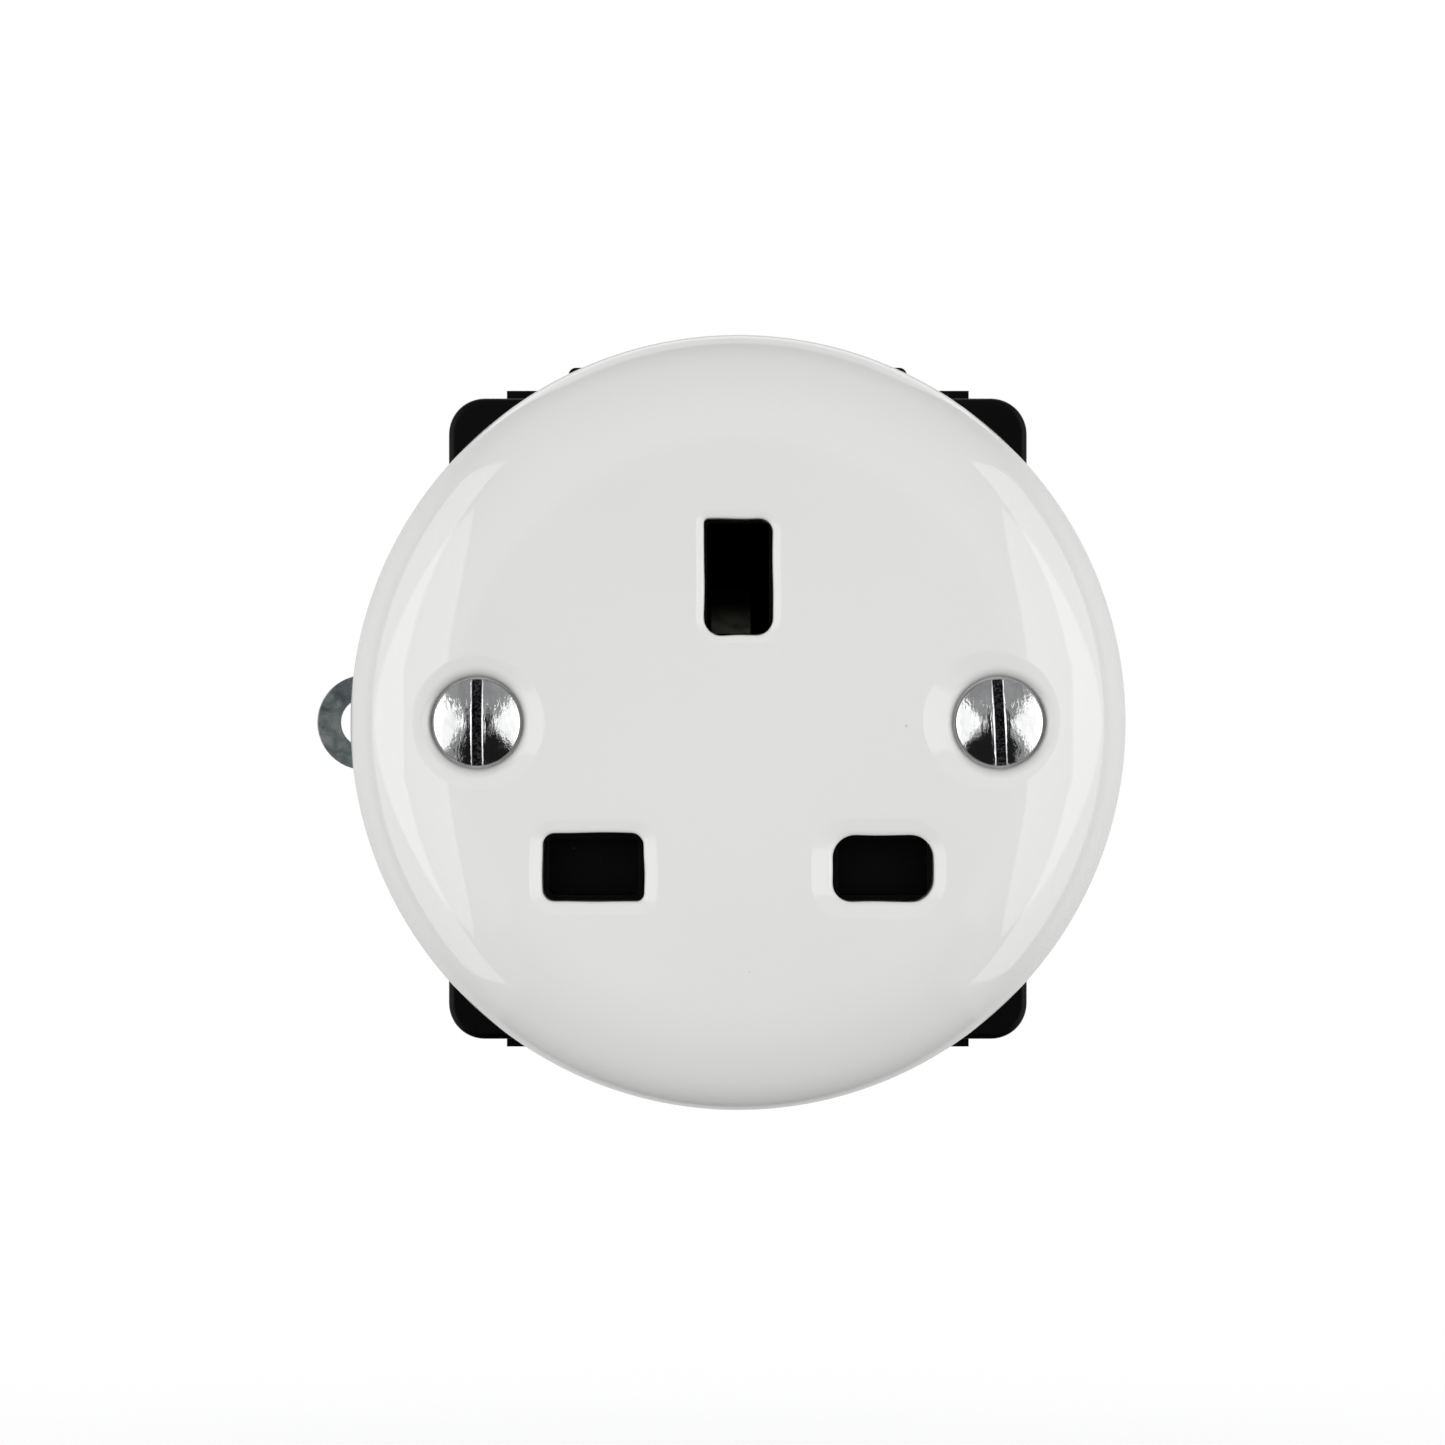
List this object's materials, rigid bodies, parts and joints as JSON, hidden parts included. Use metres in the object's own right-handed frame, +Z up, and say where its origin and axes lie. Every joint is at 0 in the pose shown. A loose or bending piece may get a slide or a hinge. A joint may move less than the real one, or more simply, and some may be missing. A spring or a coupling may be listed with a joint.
{
  "type": "flush porcelain wall socket",
  "caption": "Round glazed porcelain wall socket with rectangular pin slots, slotted chrome screws, a black moulded mechanism and a zinc plated mounting strap.",
  "frame": {"origin": "on the disc's centre line in the wall plane, which is the back face of the steel strap", "axes": "+Z up to the earth slot, +X to the right seen from the front, the face looks along -Y"},
  "size_m": [0.0628, 0.035, 0.06],
  "materials": {
    "porcelain": "white gloss glaze",
    "chrome_screw": "bright plated",
    "zinc_steel": "blue-grey zinc plating",
    "plated_screw": "dull zinc plating",
    "brass": "plain stamped brass",
    "spring_steel": "drawn wire",
    "inner_plastic": "black moulded",
    "black_plastic": "black moulded, satin"
  },
  "bodies": {
    "mechanism": {"porcelain_cover": "porcelain", "cover_screw_left": "chrome_screw", "cover_screw_right": "chrome_screw", "strap_nut_left": "brass", "strap_nut_right": "brass", "mounting_strap": "zinc_steel", "strap_screw_left": "zinc_steel", "strap_screw_right": "zinc_steel", "front_moulding": "black_plastic", "shutter_guide": "inner_plastic", "shutter_spring": "spring_steel", "rear_housing": "black_plastic", "live_contact": "brass", "neutral_contact": "brass", "earth_contact": "brass", "live_terminal": "brass", "neutral_terminal": "brass", "earth_terminal": "brass", "live_terminal_screw": "plated_screw", "neutral_terminal_screw": "plated_screw", "earth_terminal_screw_left": "plated_screw", "earth_terminal_screw_right": "plated_screw", "housing_screw_bottom_left": "plated_screw", "housing_screw_top_left": "plated_screw", "housing_screw_bottom_right": "plated_screw", "housing_screw_top_right": "plated_screw", "back_plate": "black_plastic", "back_plate_screw_left": "plated_screw", "back_plate_screw_right": "plated_screw", "back_plate_screw_bottom": "plated_screw"},
    "shutter": {"shutter": "inner_plastic"}
  },
  "joints": [
    {"name": "shutter_slide", "type": "slide", "parent": "mechanism", "child": "shutter", "axis": [0, 0, -1], "range_m": [0, 0.0046], "stiffness_N_per_m": 150, "springref_m": -0.004, "deforming": ["shutter_spring"]}
  ]
}
